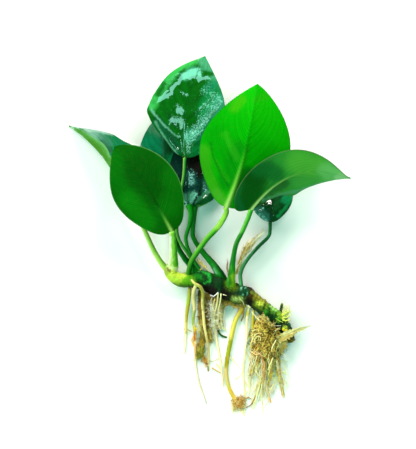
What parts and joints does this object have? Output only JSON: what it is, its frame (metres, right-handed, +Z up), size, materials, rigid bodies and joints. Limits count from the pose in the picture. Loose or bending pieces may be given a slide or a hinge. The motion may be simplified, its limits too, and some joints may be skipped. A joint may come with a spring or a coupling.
{
  "type": "bare-root anubias plant",
  "caption": "Bare-root anubias plant lying down: a creeping rhizome with leaves on long stems along one side, single roots and a tangled root mass along the other.",
  "frame": {"origin": "centre of the bounding box at its underside, on the surface that the plant lies on", "axes": "+Z up from the surface, +Y along the plant from its root tips to its leaf tips, +X to the right as seen from above with the leaves away from the viewer"},
  "size_m": [0.1386, 0.1756, 0.0453],
  "materials": {
    "leaf_dark": "wet, glossy dark green upper side with a matte lighter underside",
    "leaf_bright": "matte bright green underside with fine veins",
    "stem_green": "smooth, slightly glossy dark green",
    "stem_bright": "smooth, slightly glossy green",
    "stem_pale": "smooth pale yellow-green",
    "rhizome_brown": "knobbly green and dark brown, with a yellow-green growing tip",
    "root_cream": "smooth cream",
    "root_yellow": "smooth yellow to yellow-green",
    "root_brown": "rough, fuzzy brown",
    "root_mass_tan": "tangled tan and brown fibres",
    "dry_tan": "dry, papery tan"
  },
  "bodies": {
    "root": {"rhizome": "rhizome_brown", "leaf_left": "leaf_dark", "leaf_front_left": "leaf_dark", "leaf_top": "leaf_dark", "leaf_back_left": "leaf_dark", "leaf_back_middle": "leaf_dark", "leaf_middle": "leaf_dark", "leaf_large": "leaf_bright", "leaf_right": "leaf_bright", "leaf_right_back": "leaf_dark", "stem_left": "stem_pale", "stem_front_left": "stem_pale", "stem_top": "stem_green", "stem_back_left": "stem_green", "stem_back_middle": "stem_green", "stem_middle": "stem_green", "stem_large": "stem_bright", "stem_right": "stem_bright", "stem_right_back": "stem_green", "root_left": "root_yellow", "root_long_left": "root_cream", "root_brown": "root_brown", "root_arched": "root_cream", "root_brown_thin": "root_brown", "root_cream_middle": "root_cream", "root_tan": "root_brown", "root_white": "root_cream", "root_green": "stem_green", "root_yellow": "root_yellow", "root_cream_right": "root_cream", "root_short": "root_yellow", "root_mass": "root_mass_tan", "root_tuft": "root_mass_tan", "old_stub": "rhizome_brown", "dry_sheath": "dry_tan", "dry_scale": "dry_tan"}
  },
  "joints": []
}
